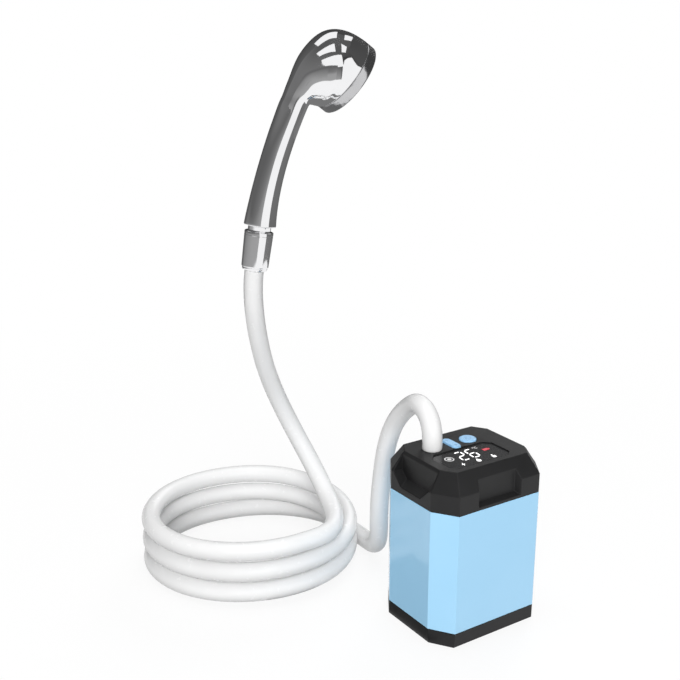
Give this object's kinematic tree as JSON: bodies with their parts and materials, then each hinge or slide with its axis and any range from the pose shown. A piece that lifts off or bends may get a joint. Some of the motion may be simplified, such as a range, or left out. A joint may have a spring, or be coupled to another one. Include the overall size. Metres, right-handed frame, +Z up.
{
  "type": "camp shower pump",
  "caption": "Block-shaped submersible shower pump with display and buttons on a black cap, a white hose lying in a coil, and a chrome hand shower on the hose's raised end.",
  "frame": {"origin": "on the floor under the middle of the pump case, on the underside of the grille's hub", "axes": "+Z up, -Y out of the pump's front, +X to the right seen from the front; the coil lies behind and to the left"},
  "size_m": [0.215, 0.2665, 0.3988],
  "materials": {
    "black_shell": "satin",
    "blue_shell": "gloss",
    "grey_plastic": "satin",
    "black_plastic": "matte",
    "foam": "matte",
    "steel": "satin",
    "black_rubber": "matte",
    "grey_rubber": "matte",
    "pale_rubber": "matte",
    "cell_sleeve": "satin",
    "board": "satin",
    "smoked_window": "gloss",
    "clear_tube": "gloss",
    "white_hose": "gloss",
    "nut_metal": "polished",
    "plated_plastic": "polished"
  },
  "bodies": {
    "pump": {"base_cap": "black_shell", "inlet_grille": "black_shell", "filter_foam": "foam", "volute_cover": "grey_plastic", "volute_case": "grey_plastic", "motor_can": "steel", "shaft_seal": "black_rubber", "body_sleeve": "blue_shell", "battery_tray": "black_plastic", "battery_cells": "cell_sleeve", "battery_clip": "black_plastic", "top_cap": "black_shell", "cap_gasket": "grey_rubber", "control_board": "board", "board_screws": "steel", "display_module": "grey_plastic", "display_window": "smoked_window", "tact_switches": "grey_plastic", "outlet_spigot": "black_shell", "outlet_oring": "grey_rubber", "delivery_tube": "clear_tube", "charge_socket": "steel", "base_screws": "steel", "hose_arch": "white_hose", "hose_coil": "white_hose", "hose_riser": "white_hose", "hose_tail": "nut_metal"},
    "rotor": {"impeller": "grey_plastic", "motor_rotor": "steel"},
    "power_button": {"power_button": "blue_shell"},
    "mode_button": {"mode_button": "blue_shell"},
    "charge_plug": {"charge_plug": "black_rubber"},
    "handset": {"hose_nut": "nut_metal", "hose_washer": "black_rubber", "handset_body": "plated_plastic", "spray_ring": "plated_plastic", "spray_plate": "grey_plastic", "nozzle_mat": "pale_rubber"}
  },
  "joints": [
    {"name": "impeller_spin", "type": "hinge", "parent": "pump", "child": "rotor", "pos_m": [-0.012, -0.008, 0.03], "axis": [0, 0, 1], "continuous": true},
    {"name": "power_button_press", "type": "slide", "parent": "pump", "child": "power_button", "axis": [0, 0, -1], "range_m": [0, 0.0008], "stiffness_N_per_m": 1500, "springref_m": -0.0005},
    {"name": "mode_button_press", "type": "slide", "parent": "pump", "child": "mode_button", "axis": [0, 0, -1], "range_m": [0, 0.0008], "stiffness_N_per_m": 1500, "springref_m": -0.0005},
    {"name": "charge_plug_pull", "type": "slide", "parent": "pump", "child": "charge_plug", "axis": [0, 1, 0], "range_m": [0, 0.008]},
    {"name": "handset_swivel", "type": "hinge", "parent": "pump", "child": "handset", "pos_m": [-0.081, 0.145, 0.2314], "axis": [0.1488, -0.0273, 0.9885], "continuous": true}
  ]
}
